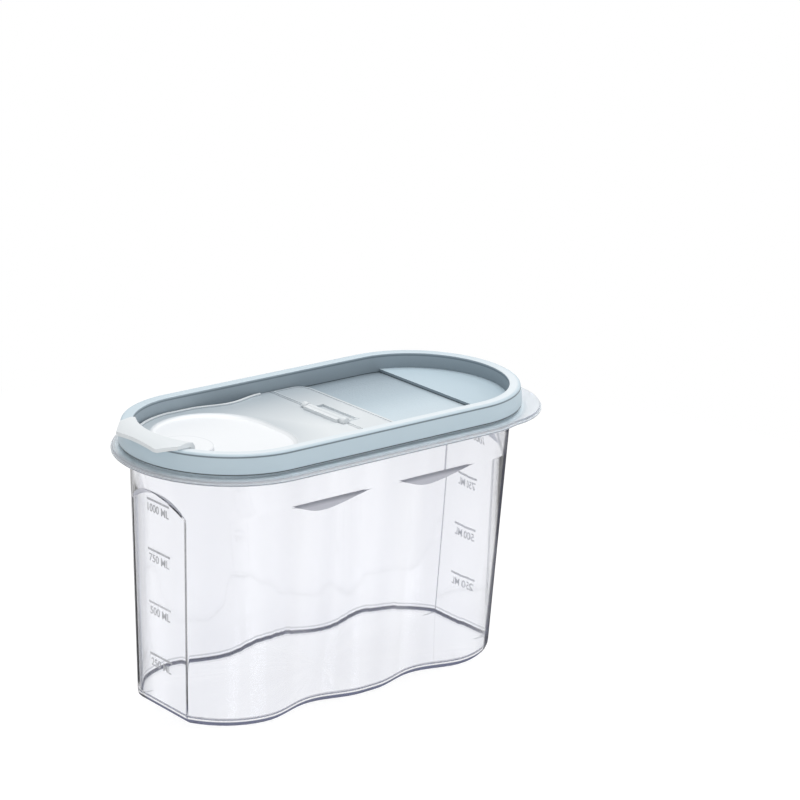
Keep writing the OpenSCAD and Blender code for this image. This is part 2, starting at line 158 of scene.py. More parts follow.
# %% Sizes from the frame
lid_points = [v.co for v in frame["nodes"]["lid_frame"].data.vertices]
LID_END, LID_REACH, RIM_TOP = (max(p[i] for p in lid_points) for i in range(3))
RIM_HEIGHT = 8.7 * MM
DECK_DEPTH = 8.4 * MM
RIM_FOOT = RIM_TOP - RIM_HEIGHT
DECK = RIM_TOP - DECK_DEPTH
LID_SPINE = LID_END - LID_REACH
print("rim top at", round(RIM_TOP / MM, 2), "mm and deck at", round(DECK / MM, 2), "mm")
print("spine ends at", round(LID_SPINE / MM, 2), "mm and the reach is", round(LID_REACH / MM, 2))

# %% [markdown]
# Masks. A finish often changes with height or with the way a face looks, so these helpers give
# the parts of the object position and of the normal, and turn them into values from 0 to 1.
# Masks are multiplied where all of them must hold, and the largest is taken where any will do.

# %% Masks
def split(tree, output):
    """The X, Y and Z of the object position or of the normal."""
    place = add_node(tree, "TexCoord")
    parts = add_node(tree, "SeparateXYZ")
    tree.links.new(place.outputs[output], parts.inputs["Vector"])
    return parts.outputs


def math_node(tree, operation, *values):
    node = add_node(tree, "Math", operation=operation)
    for socket, value in zip(node.inputs, values):
        if isinstance(value, (int, float)):
            socket.default_value = value
        else:
            tree.links.new(value, socket)
    return node.outputs[0]


def unsigned(tree, value):
    return math_node(tree, "ABSOLUTE", value)


def both(tree, *masks):
    """The product of any number of masks."""
    result = masks[0]
    for mask in masks[1:]:
        result = math_node(tree, "MULTIPLY", result, mask)
    return result


def largest(tree, *values):
    result = values[0]
    for value in values[1:]:
        result = math_node(tree, "MAXIMUM", result, value)
    return result


def band(tree, value, low, high, soft):
    """1 where value lies between low and high, fading to 0 over a width of soft on each side."""
    rise = spread(tree, value, 0, 1, low - soft, low)
    fall = spread(tree, value, 1, 0, high, high + soft)
    return both(tree, rise, fall)


def curve(tree, value, stops):
    """A value read off a broken line through the stops, given as (place, value) pairs."""
    ramp = add_node(tree, "ValToRGB")
    points = ramp.color_ramp.elements
    while len(points) < len(stops):
        points.new(0.5)
    for point, (at, level) in zip(points, stops):
        point.position = at
        point.color = (level, level, level, 1)
    tree.links.new(value, ramp.inputs["Fac"])
    return ramp.outputs["Color"]


def from_spine(tree, place, reach, axis="X"):
    """Offsets from the nearest point of a straight spine through the middle, along one axis."""
    along, across = ("X", "Y") if axis == "X" else ("Y", "X")
    held = math_node(tree, "MINIMUM", math_node(tree, "MAXIMUM", place[along], -reach), reach)
    return math_node(tree, "SUBTRACT", place[along], held), place[across]


def distance(tree, away, across):
    """The distance that two offsets make."""
    squares = math_node(tree, "ADD", both(tree, away, away), both(tree, across, across))
    return math_node(tree, "SQRT", squares)


def tint(tree, base, colour, mask):
    """base, turned towards colour by mask."""
    mix = add_node(tree, "Mix", data_type="RGBA")
    if isinstance(base, tuple):
        mix.inputs["A"].default_value = base
    else:
        tree.links.new(base, mix.inputs["A"])
    mix.inputs["B"].default_value = colour
    tree.links.new(mask, mix.inputs["Factor"])
    return mix.outputs["Result"]


print("masks ready")

# %% [markdown]
# The tub is clear moulded plastic: it bends light as glass does, but glass alone would look too
# even. A real tub shows dark lines at its corners and round its foot, shade where a wall is seen
# edge-on, and ledges and a flange that the light cannot pass straight through. That shade and
# light are painted into the finish, each through a mask. This cell finds the places that those
# masks share: which faces are inner ones, how far a point is from the corner lines of the end
# panels, which stand a little further apart towards the top, and where the arches over those
# panels are. The functions after it take them as on.

# %% Places on the tub
PANEL_HALF_WIDTH = 17.18 * MM
PANEL_PARTING = 0.0142
ARCH_HALF_WIDTH = 20 * MM
ARCH_LOW, ARCH_HIGH = 80 * MM, 106 * MM
PANELS_FROM = 80 * MM


class TubPlaces:
    """Masks and offsets that the finishes of the tub share."""

    def __init__(self, tree):
        self.place = split(tree, "Object")
        self.height = self.place["Z"]
        self.from_middle = unsigned(tree, self.place["X"])
        normal = split(tree, "Normal")
        self.tilt = unsigned(tree, normal["Z"])
        self.upright = spread(tree, self.tilt, 1, 0, 0.3, 0.6)
        self.inside = add_node(tree, "Attribute", attribute_name="inner_face").outputs["Fac"]
        self.outside = math_node(tree, "SUBTRACT", 1, self.inside)
        side = unsigned(tree, self.place["Y"])
        corner = math_node(tree, "MULTIPLY_ADD", self.height, PANEL_PARTING, PANEL_HALF_WIDTH)
        self.off_corner = unsigned(tree, math_node(tree, "SUBTRACT", side, corner))
        self.far_out = spread(tree, self.from_middle, 0, 1, PANELS_FROM, PANELS_FROM + 2 * MM)
        sideways = spread(tree, unsigned(tree, normal["X"]), 1, 0, 0.5, 0.8)
        close_in = spread(tree, side, 1, 0, ARCH_HALF_WIDTH, ARCH_HALF_WIDTH + 2 * MM)
        arch_heights = band(tree, self.height, ARCH_LOW, ARCH_HIGH, 1 * MM)
        self.arch = both(tree, self.far_out, sideways, close_in, arch_heights)


print("panels start", round(PANELS_FROM / MM), "mm from the middle of the tub")

# %% [markdown]
# Painted shade lines. Moulded corners and the foot carry the light away inside the wall, so they
# look dark, and that shade is painted here as dark lines. Faint upright streaks of painted shade
# come with them. Layer Weight finds the walls that are seen edge-on, which lets the lines follow
# the shape from any side. Lines round the foot are given as where they start and end, how soft
# they are, all in millimetres, and how strong they are.

# %% Painted shade lines in the clear walls
EDGE_SHADE_STOPS = [(0.50, 0.0), (0.62, 0.10), (0.72, 0.16), (0.78, 0.80), (0.95, 0.92)]
OUTER_FOOT_SHADE = [(-1, 2.3, 0.6, 0.9), (3.9, 4.2, 0.4, 0.35)]
INNER_FOOT_SHADE = [(2.75, 3.3, 0.3, 0.62), (2.1, 3.0, 0.3, 0.3)]
CORNER_SHADE = 0.62
CORNER_TOP_SPOUT, CORNER_TOP_GRIP = 91 * MM, 106 * MM
PANEL_SHADE = 0.34
STREAK_SHADE = 0.028


def level_lines(tree, height, shade_lines):
    """The strongest of several level lines."""
    shares = []
    for low, high, soft, strength in shade_lines:
        line = band(tree, height, low * MM, high * MM, soft * MM)
        shares.append(both(tree, line, strength))
    return largest(tree, *shares)


def edge_on_shade(tree, on):
    """Painted shade on walls seen edge-on: darker towards the grip end, and fainter inside."""
    facing = add_node(tree, "LayerWeight", Blend=0.5).outputs["Facing"]
    under_flange = spread(tree, on.height, 1, 0, 108 * MM, 109 * MM)
    to_grip = spread(tree, on.place["X"], 0.5, 1.0, -40 * MM, 60 * MM)
    fainter_inside = spread(tree, on.inside, 1, 0.15, 0, 1)
    off_arch = spread(tree, on.arch, 1, 0, 0, 0.5)
    return both(tree, curve(tree, facing, EDGE_SHADE_STOPS), on.upright, under_flange, to_grip,
                fainter_inside, off_arch)


def foot_shade(tree, on):
    """Painted shade: a broad and a thin line round the foot outside, and a band round the floor
    inside.
    """
    off_base = spread(tree, on.tilt, 1, 0, 0.93, 0.98)
    outer = both(tree, level_lines(tree, on.height, OUTER_FOOT_SHADE), on.outside, off_base)
    off_floor = spread(tree, on.tilt, 1, 0, 0.975, 0.995)
    inner = both(tree, level_lines(tree, on.height, INNER_FOOT_SHADE), on.inside, off_floor)
    return largest(tree, outer, inner)


def panel_painted_shade(tree, on):
    """Painted shade: corner lines of the end panels, and soft shade towards the back of the
    spout-end one.
    """
    at_corner = spread(tree, on.off_corner, CORNER_SHADE, 0, 0.3 * MM, 0.65 * MM)
    at_end = spread(tree, on.from_middle, 0, 1, 74 * MM, 76 * MM)
    top = spread(tree, on.place["X"], CORNER_TOP_SPOUT, CORNER_TOP_GRIP, -1 * MM, 1 * MM)
    over_top = math_node(tree, "SUBTRACT", on.height, top)
    below_top = spread(tree, over_top, 1, 0, -1 * MM, 1 * MM)
    corner = both(tree, at_corner, at_end, below_top, on.outside)
    to_back = spread(tree, on.place["Y"], 0, PANEL_SHADE, 5 * MM, 16.5 * MM)
    at_spout = spread(tree, on.place["X"], 1, 0, 0, 1 * MM)
    under_arch = spread(tree, on.height, 1, 0, 92 * MM, 100 * MM)
    shade = both(tree, to_back, at_end, at_spout, under_arch, on.upright, on.outside)
    return largest(tree, corner, shade)


def streak_shade(tree, on):
    """Faint upright streaks of painted shade, spread at random over the walls."""
    streaks = object_noise(tree, 42, 1, (1, 0.6, 0.03))
    return both(tree, spread(tree, streaks, 0.0, STREAK_SHADE, 0.42, 0.62), on.upright)


print("lines round the foot:", len(OUTER_FOOT_SHADE), "outside,", len(INNER_FOOT_SHADE), "inside")

# %% [markdown]
# Ledges. The tops of the hollows and of the end panels slope, and there clear plastic bends the
# light into a grey shade, which is painted with a mixed-in rough grey plastic. It is painted
# deeper grey just under their top edge, as shade. At the grip end it is painted paler, as light,
# and a strip of that painted light runs up beside the front corner of the panel. A mixed-in rough
# plastic does this, because more dark glass on a sloping face would only take light away.

# %% Painted shade and light on the ledges
LEDGE_GREY_SHADE = (0.52, 0.53, 0.60, 1)
LEDGE_DEEP_SHADE = (0.21, 0.22, 0.27, 1)
LEDGE_ARCH_SHADE = (0.55, 0.56, 0.63, 1)
LEDGE_GRIP_LIGHT = (0.80, 0.81, 0.87, 1)
LEDGE_LOW, LEDGE_TOP, LEDGE_HIGH = 84 * MM, 96 * MM, 104 * MM
LEDGE_SHARE = 0.85


def ledge_painted_shade(tree, on):
    """The rough plastic that paints the ledges' shade and light, and where it shows."""
    at_ledge = band(tree, on.height, LEDGE_LOW, LEDGE_HIGH, 2 * MM)
    sloping = both(tree, spread(tree, on.tilt, 0, 1, 0.15, 0.35), at_ledge)
    at_grip_end = spread(tree, on.place["X"], 0, 1, 78 * MM, 82 * MM)
    to_front = spread(tree, on.place["Y"], 1, 0, -2 * MM, 2 * MM)
    by_corner = spread(tree, on.off_corner, 0.9, 0, 1.2 * MM, 2 * MM)
    pale_strip = both(tree, at_grip_end, to_front, on.outside, by_corner)
    under_top = spread(tree, on.height, 0, 1, LEDGE_TOP - 3.2 * MM, LEDGE_TOP - 0.8 * MM)
    # painted shade, deeper under the top edge; painted light at the grip end
    colour = tint(tree, LEDGE_GREY_SHADE, LEDGE_DEEP_SHADE, both(tree, under_top, on.outside))
    colour = tint(tree, colour, LEDGE_ARCH_SHADE, on.far_out)
    colour = tint(tree, colour, LEDGE_GRIP_LIGHT, at_grip_end)
    plastic = add_node(tree, "BsdfPrincipled", Roughness=0.3, IOR=1.5)
    tree.links.new(colour, plastic.inputs["Base Color"])
    return plastic, both(tree, largest(tree, sloping, on.arch, pale_strip), LEDGE_SHARE)


print("ledges lie between", round(LEDGE_LOW / MM), "and", round(LEDGE_HIGH / MM), "mm")

# %% [markdown]
# The flange is frosted too, and light and shade are painted into its colour. It is painted greyer
# close to the rim as shade, and pale right under the lid as painted light where the lid's shadow
# would turn it black. Its stepped edge shows as painted lines over each other: a dark one of
# painted shade, a pale painted highlight and a grey one of painted shade. The dark painted shade
# line along the top edge is strongest round the grip. Heights on the flange are counted from just
# under it.

# %% Frosted flange, with painted light and shade
FLANGE_PALE = (0.66, 0.70, 0.735, 1)
FLANGE_SHADE = (0.50, 0.585, 0.64, 1)
FLANGE_PAINTED_LIGHT = (0.78, 0.89, 0.95, 1)
FLANGE_HIGHLIGHT = (0.93, 0.94, 0.97, 1)
FLANGE_SHADE_LINE = (0.24, 0.25, 0.30, 1)
FLANGE_LOW = 110 * MM


def frosted_flange(tree, on):
    """The flange's frosted plastic with its painted light and shade, and where it shows."""
    out = distance(tree, *from_spine(tree, on.place, LID_SPINE))
    near_rim = spread(tree, out, 1, 0, LID_REACH + 0.6 * MM, LID_REACH + 3.4 * MM)
    off_edge = spread(tree, out, 1, 0, LID_REACH + 2.4 * MM, LID_REACH + 2.8 * MM)
    under_lid = spread(tree, out, 1, 0, LID_REACH + 0.2 * MM, LID_REACH + 1.6 * MM)
    along_side = spread(tree, on.from_middle, 1, 0.35, 60 * MM, 90 * MM)
    up = math_node(tree, "SUBTRACT", on.height, FLANGE_LOW)
    low_edge = both(tree, spread(tree, up, 1, 0, 0.7 * MM, 1.0 * MM), on.upright)
    step_edge = both(tree, band(tree, up, 1.0 * MM, 1.7 * MM, 0.3 * MM), on.upright)
    top_edge = both(tree, spread(tree, up, 0, 1, 1.7 * MM, 2.1 * MM), on.upright, along_side)
    top_line = band(tree, up, 1.4 * MM, 2.12 * MM, 0.06 * MM)
    to_grip = spread(tree, on.place["X"], 0.5, 0.9, 66 * MM, 78 * MM)
    # painted shade by the rim, painted light under the lid, a painted highlight and painted shade
    # lines on the edge
    colour = tint(tree, FLANGE_PALE, FLANGE_SHADE, both(tree, near_rim, off_edge, along_side))
    colour = tint(tree, colour, FLANGE_PAINTED_LIGHT, under_lid)
    colour = tint(tree, colour, FLANGE_HIGHLIGHT, step_edge)
    colour = tint(tree, colour, FLANGE_SHADE, top_edge)
    colour = tint(tree, colour, FLANGE_SHADE_LINE, low_edge)
    colour = tint(tree, colour, FLANGE_SHADE_LINE, both(tree, top_line, to_grip))
    plastic = add_node(tree, "BsdfPrincipled", Roughness=0.35, IOR=1.5)
    tree.links.new(colour, plastic.inputs["Base Color"])
    at_flange = band(tree, up, 0, 3.8 * MM, 0.1 * MM)
    return plastic, both(tree, at_flange, spread(tree, near_rim, 0.55, 0.8, 0, 1))


print("frosted from", round(FLANGE_LOW / MM), "mm up")

# %% [markdown]
# Now the parts come together. The clear plastic has a slight waviness from the mould and fine
# handling marks. The painted shade lines let a ray straight through and only take its light away,
# and they are left out of reflections, where they would double. The lamps' rays would be blocked
# by all this, so they pass through a plain transparent shader instead, and the tub casts the faint
# shadow of clear plastic.

# %% Clear plastic
CLEAR_TINT = (0.945, 0.950, 0.974, 1)
SHADOW_TINT = (0.93, 0.94, 0.96, 1)
PAINTED_SHADE_TINT = (0.07, 0.082, 0.16, 1)


def wavy_glass(tree):
    glass = add_node(tree, "BsdfPrincipled", IOR=1.5)
    glass.inputs["Transmission Weight"].default_value = 1.0
    glass.inputs["Base Color"].default_value = CLEAR_TINT
    haze = object_noise(tree, 160, 4)
    tree.links.new(spread(tree, haze, 0.015, 0.05, 0.3, 0.7), glass.inputs["Roughness"])
    wave = object_noise(tree, 28, 1.5)
    tree.links.new(bump(tree, wave, 0.0002, 0.25), glass.inputs["Normal"])
    return glass


def clear_plastic():
    material, tree, output = new_material("clear_plastic")
    on = TubPlaces(tree)
    path = add_node(tree, "LightPath")
    not_mirrored = math_node(tree, "SUBTRACT", 1, path.outputs["Is Reflection Ray"])
    # painted shade lines, mixed in as a dark transparent shader
    shade_lines = largest(tree, edge_on_shade(tree, on), foot_shade(tree, on), panel_painted_shade(tree, on),
                    streak_shade(tree, on))
    shade_glass = add_node(tree, "BsdfTransparent", Color=PAINTED_SHADE_TINT)
    tub = mix_shaders(tree, both(tree, shade_lines, not_mirrored), wavy_glass(tree), shade_glass)
    ledge, at_ledge = ledge_painted_shade(tree, on)
    tub = mix_shaders(tree, at_ledge, tub, ledge)
    flange, at_flange = frosted_flange(tree, on)
    tub = mix_shaders(tree, at_flange, tub, flange)
    passing = add_node(tree, "BsdfTransparent", Color=SHADOW_TINT)
    tub = mix_shaders(tree, path.outputs["Is Shadow Ray"], tub, passing)
    tree.links.new(tub.outputs["Shader"], output.inputs["Surface"])
    return material


CLEAR = clear_plastic()
print("made", CLEAR.name, "with", len(CLEAR.node_tree.nodes), "nodes")

# %% [markdown]
# The lid frame is solid-coloured polypropylene in a blue grey. Shade and light are painted into
# its colour: it is painted deeper as shade on inner walls, in corners where little light gets in,
# and on the deck towards the back, and paler as light at the front of the deck, on the outer part
# of the rim's top and on the foot's face that looks down at the flange. A painted shadow line runs
# along the foot and a painted dark line under the top edge. Ambient Occlusion finds the corners for
# the painted shade, and looks at the lid alone, so that the flap over it makes no difference.

# %% Colour of the lid, with painted light and shade
LID_FACE = (0.47, 0.575, 0.64, 1)
LID_PAINTED_LIGHT = (0.68, 0.735, 0.77, 1)
LID_INNER_SHADE = (0.31, 0.375, 0.425, 1)
LID_DEEP_SHADE = (0.15, 0.19, 0.22, 1)
LID_SHADOW_LINE = (0.03, 0.042, 0.05, 1)
CORNER_DEPTH = 14 * MM


def lid_colour_and_painted_light(tree, place, normal, on_deck):
    upright = spread(tree, unsigned(tree, normal["Z"]), 1, 0, 0.5, 0.8)
    facing_up = spread(tree, normal["Z"], 0, 1, 0.3, 0.6)
    # a wall that faces the spine is an inner one
    away, across = from_spine(tree, place, LID_SPINE)
    outward = math_node(tree, "ADD", both(tree, away, normal["X"]), both(tree, across, normal["Y"]))
    inner = both(tree, spread(tree, outward, 1, 0, -10 * MM, 0), upright)
    # painted shade on the deck towards the back, and painted light towards its front
    deck_back_shade = both(tree, on_deck, spread(tree, place["Y"], 0, 1, -10 * MM, 30 * MM))
    deck_front_light = both(tree, on_deck, spread(tree, place["Y"], 0.5, 0, -30 * MM, 8 * MM))
    colour = tint(tree, LID_FACE, LID_INNER_SHADE, largest(tree, inner, deck_back_shade))
    colour = tint(tree, colour, LID_PAINTED_LIGHT, deck_front_light)
    # painted highlight: the top of the rim is painted paler on its outer part and towards the front
    at_top = spread(tree, place["Z"], 0, 1, RIM_TOP - 0.9 * MM, RIM_TOP - 0.3 * MM)
    to_front = spread(tree, place["Y"], 1, 0.25, -20 * MM, 30 * MM)
    out = distance(tree, away, across)
    outer_part = spread(tree, out, 1, 0.15, LID_REACH - 2.6 * MM, LID_REACH - 1.4 * MM)
    colour = tint(tree, colour, LID_PAINTED_LIGHT, both(tree, at_top, facing_up, to_front, outer_part))
    # painted shade in corners and on the deck, where Ambient Occlusion finds little light
    hollow = add_node(tree, "AmbientOcclusion", samples=8, only_local=True, Distance=CORNER_DEPTH)
    ao_corner_shade = spread(tree, hollow.outputs["AO"], 1, 0, 0.25, 0.95)
    colour = tint(tree, colour, LID_DEEP_SHADE, both(tree, ao_corner_shade, largest(tree, inner, on_deck)))
    # painted shadow along the foot, and painted light on the face that looks down at the flange
    foot = spread(tree, place["Z"], 1, 0, RIM_FOOT + 0.45 * MM, RIM_FOOT + 0.8 * MM)
    not_up = spread(tree, normal["Z"], 1, 0, 0.3, 0.6)
    looks_down = spread(tree, normal["Z"], 1, 0, -0.9, -0.6)
    colour = tint(tree, colour, LID_SHADOW_LINE, both(tree, foot, not_up))
    colour = tint(tree, colour, LID_PAINTED_LIGHT, both(tree, foot, looks_down))
    # a painted dark line under the top edge, as shade
    edge_shade_band = band(tree, place["Z"], RIM_TOP - 1.3 * MM, RIM_TOP - 0.9 * MM, 0.25 * MM)
    return tint(tree, colour, LID_DEEP_SHADE, both(tree, edge_shade_band, upright))


print("lid colours: 5, from", LID_SHADOW_LINE[:3], "to", LID_PAINTED_LIGHT[:3])

# %% [markdown]
# The mould gives the lid a very fine matte grain all over, and a coarser spark texture on the
# deck. Both are too small to be worth mesh, so a bump and a varied roughness make them.

# %% Blue-grey lid plastic
def lid_plastic():
    material, tree, output = new_material("lid_plastic")
    plastic = add_node(tree, "BsdfPrincipled", IOR=1.49)
    place = split(tree, "Object")
    normal = split(tree, "Normal")
    at_deck = band(tree, place["Z"], DECK - 3 * MM, DECK + 0.5 * MM, 0.2 * MM)
    on_deck = both(tree, at_deck, spread(tree, normal["Z"], 0, 1, 0.3, 0.6))
    colour = lid_colour_and_painted_light(tree, place, normal, on_deck)
    tree.links.new(colour, plastic.inputs["Base Color"])
    grain = object_noise(tree, 2600, 2)
    tree.links.new(spread(tree, grain, 0.38, 0.55, 0.3, 0.7), plastic.inputs["Roughness"])
    sparks = both(tree, object_noise(tree, 950, 2), on_deck)
    height = math_node(tree, "ADD", both(tree, grain, 0.15), sparks)
    tree.links.new(bump(tree, height, 0.0003, 0.7), plastic.inputs["Normal"])
    tree.links.new(plastic.outputs["BSDF"], output.inputs["Surface"])
    return material


LID = lid_plastic()
print("made", LID.name, "with", len(LID.node_tree.nodes), "nodes")

# %% [markdown]
# The flap and its hinge plate are natural, uncoloured polypropylene: milky, with a satin gloss.
# It is painted white over the pour opening, as the light that comes from below as well. Over the
# deck it is painted grey, partly the deck that shows through and partly painted shade: in a ring
# behind the dish, towards the back, and on the plate past the hinge. Folds, inner corners and a
# faint line round the thumb disc get painted shade too. Lamp rays are let through in part, as
# they are by thin milky plastic.

# %% Milky plastic, with painted light and shade
MILKY_LIGHT_FROM_BELOW = (0.81, 0.83, 0.85, 1)
MILKY_FACE = (0.70, 0.735, 0.755, 1)
MILKY_DECK_SHADE = (0.36, 0.415, 0.455, 1)
MILKY_DEEP_SHADE = (0.42, 0.45, 0.48, 1)
MILKY_LIGHT_THROUGH = 0.6
DISH_X = -54 * MM
DISH_R = 28 * MM
DISH_SPINE = 6.2 * MM
THUMB_X = -74.5 * MM
THUMB_R = 12.2 * MM
FOLD_DEPTH = 2.5 * MM


def milky_colour_and_painted_light(tree, place):
    away, across = from_spine(tree, place, DISH_SPINE, "Y")
    from_dish = distance(tree, away, math_node(tree, "SUBTRACT", across, DISH_X))
    in_dish = spread(tree, from_dish, 1, 0, DISH_R - 2 * MM, DISH_R - 0.5 * MM)
    # painted grey where the deck shows through, partly the deck and partly painted shade
    flat = spread(tree, place["Z"], 1, 0, DECK + 1.7 * MM, DECK + 2.2 * MM)
    back_shade = both(tree, spread(tree, place["Y"], 0, 0.95, -12 * MM, 38 * MM), flat)
    ring_shade = both(tree, spread(tree, from_dish, 0.55, 0, DISH_R, DISH_R + 16 * MM), flat,
                spread(tree, place["X"], 0, 1, -62 * MM, -40 * MM),
                spread(tree, place["Y"], 0.35, 1, -30 * MM, 0))
    past_hinge_shade = spread(tree, place["X"], 0, 0.14, 1 * MM, 3 * MM)
    colour = tint(tree, MILKY_FACE, MILKY_DECK_SHADE, largest(tree, back_shade, ring_shade, past_hinge_shade))
    # painted light over the pour opening
    colour = tint(tree, colour, MILKY_LIGHT_FROM_BELOW, in_dish)
    # painted shade in a faint line round the thumb disc
    from_thumb = distance(tree, math_node(tree, "SUBTRACT", place["X"], THUMB_X), place["Y"])
    thumb_shade_line = band(tree, from_thumb, THUMB_R - 0.2 * MM, THUMB_R + 0.2 * MM, 0.5 * MM)
    colour = tint(tree, colour, MILKY_DEEP_SHADE, both(tree, thumb_shade_line, in_dish, 0.28))
    # painted shade in folds and inner corners, fainter in the dish
    hollow = add_node(tree, "AmbientOcclusion", samples=16, only_local=True, Distance=FOLD_DEPTH)
    fold_shade = spread(tree, hollow.outputs["AO"], 0.8, 0, 0.2, 0.6)
    off_dish = spread(tree, in_dish, 1, 0.25, 0, 1)
    return tint(tree, colour, MILKY_DEEP_SHADE, both(tree, fold_shade, off_dish))


def milky_plastic():
    material, tree, output = new_material("milky_plastic")
    plastic = add_node(tree, "BsdfPrincipled", IOR=1.49)
    tree.links.new(milky_colour_and_painted_light(tree, split(tree, "Object")), plastic.inputs["Base Color"])
    satin = spread(tree, object_noise(tree, 300, 2), 0.30, 0.33, 0.3, 0.7)
    tree.links.new(satin, plastic.inputs["Roughness"])
    path = add_node(tree, "LightPath")
    through = both(tree, path.outputs["Is Shadow Ray"], MILKY_LIGHT_THROUGH)
    mix = mix_shaders(tree, through, plastic, add_node(tree, "BsdfTransparent"))
    tree.links.new(mix.outputs["Shader"], output.inputs["Surface"])
    return material


MILKY = milky_plastic()
print("made", MILKY.name, "with", len(MILKY.node_tree.nodes), "nodes")

# %% [markdown]
# Each moulding keeps its CAD shape exactly. A CAD node is loose triangles, which would shade as
# flat facets, so a copy is made, its doubled corners are merged, and its normals are smoothed
# wherever two faces meet at less than a set angle. Normals are weighted by area, so that a narrow
# fillet doesn't tilt the shading of the tall wall beside it. The copy stands for the node.

# %% Smooth copies of the mouldings
MERGE_WITHIN = 0.002 * MM
AREA_WEIGHT = 90


def deselect_all():
    if bpy.context.object and bpy.context.object.mode != "OBJECT":
        bpy.ops.object.mode_set(mode="OBJECT")
    bpy.ops.object.select_all(action="DESELECT")


def pick(piece):
    deselect_all()
    piece.select_set(True)
    bpy.context.view_layer.objects.active = piece


def smooth_copy(node, name, material, sharp_deg):
    source = frame["nodes"][node]
    piece = bpy.data.objects.new(name, source.data.copy())
    bpy.context.scene.collection.objects.link(piece)
    pick(piece)
    bpy.ops.object.mode_set(mode="EDIT")
    bpy.ops.mesh.select_all(action="SELECT")
    bpy.ops.mesh.remove_doubles(threshold=MERGE_WITHIN)
    bpy.ops.mesh.customdata_custom_splitnormals_clear()
    bpy.ops.object.mode_set(mode="OBJECT")
    bpy.ops.object.shade_smooth_by_angle(angle=math.radians(sharp_deg))
    bpy.ops.object.modifier_add(type="WEIGHTED_NORMAL")
    weighted = piece.modifiers[-1]
    weighted.weight = AREA_WEIGHT
    weighted.keep_sharp = True
    bpy.ops.object.modifier_apply(modifier=weighted.name)
    piece.data.materials.clear()
    piece.data.materials.append(material)
    bodies = frame["record"]["behaviour"]["bodies"].items()
    body = next(name_of_body for name_of_body, nodes in bodies if node in nodes)
    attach(piece, body)
    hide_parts(node)
    print(name, "has", len(piece.data.polygons), "faces and rides on", body)
    return piece


TUB_SHARP = 28
LID_SHARP = 30
tub = smooth_copy("container_body", "clear_tub", CLEAR, TUB_SHARP)
smooth_copy("lid_frame", "lid_moulding", LID, LID_SHARP)
smooth_copy("hinge_plate", "hinge_plate_moulding", MILKY, LID_SHARP)
smooth_copy("spout_flap", "spout_flap_moulding", MILKY, LID_SHARP)

# %% [markdown]
# The clear finish has to know the tub's inner faces from its outer ones. A shader can't tell them
# apart by the normal, which turns round when a ray meets a face from behind, so each face of the
# tub carries the answer as an attribute. A wall face is an inner one if it looks towards the
# spine, and a level face if it looks up.

# %% Inner faces of the tub
def is_inner(face):
    if abs(face.normal.z) > 0.9:
        return face.normal.z >= 0
    away = face.center.x - max(-LID_SPINE, min(LID_SPINE, face.center.x))
    return away * face.normal.x + face.center.y * face.normal.y <= 0


inner_values = [float(is_inner(face)) for face in tub.data.polygons]
inner_face = tub.data.attributes.new("inner_face", "FLOAT", "FACE")
inner_face.data.foreach_set("value", inner_values)
print("inner faces of the tub:", int(sum(inner_values)), "of", len(inner_values))

# %% [markdown]
# Measuring marks stand on both end panels: a line every 250 millilitres with its volume under it,
# to be read from outside. They are printed in a speckled grey that lets some of the wall through.

# %% Mark print
INK_DARK = (0.54, 0.55, 0.58, 1)
INK_PALE = (0.66, 0.67, 0.70, 1)
INK_SEE_THROUGH = 0.4


def print_finish():
    material, tree, output = new_material("mark_print")
    ink = add_node(tree, "BsdfPrincipled", IOR=1.45, Roughness=0.7)
    speck = spread(tree, object_noise(tree, 1500, 2), 0, 1, 0.3, 0.7)
    tree.links.new(tint(tree, INK_DARK, INK_PALE, speck), ink.inputs["Base Color"])
    mix = mix_shaders(tree, INK_SEE_THROUGH, ink, add_node(tree, "BsdfTransparent"))
    tree.links.new(mix.outputs["Shader"], output.inputs["Surface"])
    return material


PRINT = print_finish()
print("made", PRINT.name, "with", len(PRINT.node_tree.nodes), "nodes")

# %% [markdown]
# A mark is a thin raised bar and a word. The word is a text object that is converted to mesh and
# then brought to its size. Both start flat, the bar centred on y = 0 and the word hanging below
# it, and are then stood upright against a panel, leaning as it does. Their place is applied to
# the mesh, so that every finished piece sits at the origin.

# %% Bars and letters
CAP_HEIGHT = 3.5 * MM
PRINT_DEPTH = 0.12 * MM
PANEL_TOP_X = 88.1 * MM
TUB_TOP = 110.2 * MM
END_TILT = math.radians(2.5)


def bar(width, height):
    deselect_all()
    bpy.ops.mesh.primitive_cube_add(size=1)
    piece = bpy.context.object
    for v in piece.data.vertices:
        v.co = (v.co.x * width, v.co.y * height, (v.co.z + 0.5) * PRINT_DEPTH)
    return piece


def letters(text, width):
    """A flat mesh of the text, as wide as asked, centred on x and with its top at y = 0."""
    deselect_all()
    bpy.ops.object.text_add()
    piece = bpy.context.object
    piece.data.body = text
    piece.data.offset = 0.012
    piece.data.extrude = 0.01
    bpy.ops.object.convert(target="MESH")
    piece = bpy.context.object
    points = [v.co for v in piece.data.vertices]
    low = [min(p[i] for p in points) for i in range(3)]
    high = [max(p[i] for p in points) for i in range(3)]
    for p in points:
        p.x = (p.x - (low[0] + high[0]) / 2) * width / (high[0] - low[0])
        p.y = (p.y - high[1]) * CAP_HEIGHT / (high[1] - low[1])
        p.z = (p.z - low[2]) * PRINT_DEPTH / (high[2] - low[2])
    return piece


def stand_on_panel(piece, end, height):
    """Puts a flat piece against the end panel, at the given height."""
    upright = Matrix.Rotation(math.radians(90), 4, "X")
    turn = Matrix.Rotation(math.radians(90 * end), 4, "Z")
    lean = Matrix.Rotation(END_TILT * end, 4, "Y")
    panel_x = PANEL_TOP_X - (TUB_TOP - height) * math.tan(END_TILT)
    out = Matrix.Translation((end * panel_x, 0, height))
    piece.data.transform(out @ lean @ turn @ upright)


print("the panels lean", round(math.degrees(END_TILT), 1), "degrees")

